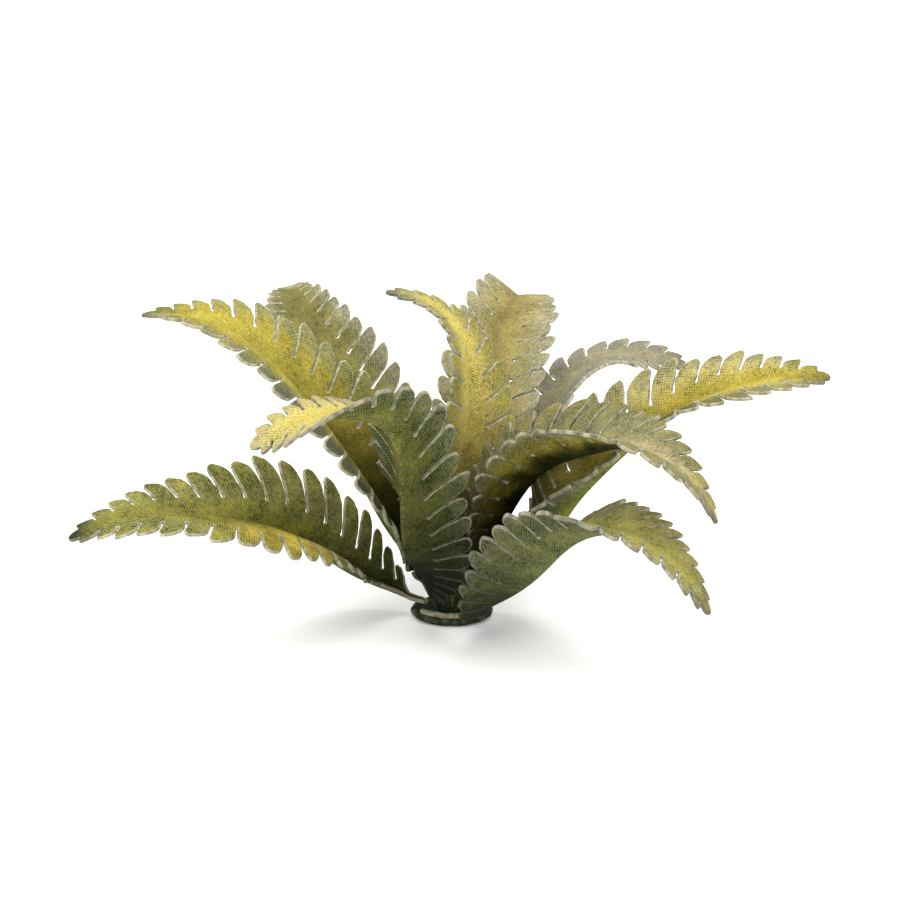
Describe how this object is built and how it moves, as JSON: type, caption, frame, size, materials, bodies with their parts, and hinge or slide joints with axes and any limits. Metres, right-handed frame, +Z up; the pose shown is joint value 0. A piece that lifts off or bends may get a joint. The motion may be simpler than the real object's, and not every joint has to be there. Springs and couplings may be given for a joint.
{
  "type": "paper model deer fern",
  "caption": "Small paper model of a deer fern: arching fronds cut from printed card, with leaflets slit to the midrib, on a round foot.",
  "frame": {"origin": "middle of the foot's flat underside, on the surface that it stands on", "axes": "+Z up, +X to the right as the picture shows it, -Y towards the viewer"},
  "size_m": [0.0732, 0.0696, 0.0354],
  "materials": {
    "foot": "matt dark card",
    "green_card": "matt card printed olive green with pale cut edges",
    "yellow_card": "matt card printed yellow and green with pale cut edges"
  },
  "bodies": {
    "root": {"foot_disc": "foot", "frond_low_left": "green_card", "frond_high_left": "yellow_card", "frond_back_left": "green_card", "frond_front": "green_card", "frond_crown": "yellow_card", "frond_back": "yellow_card", "frond_back_right": "green_card", "frond_right": "yellow_card", "frond_front_right": "green_card", "frond_low_right": "green_card"}
  },
  "joints": []
}
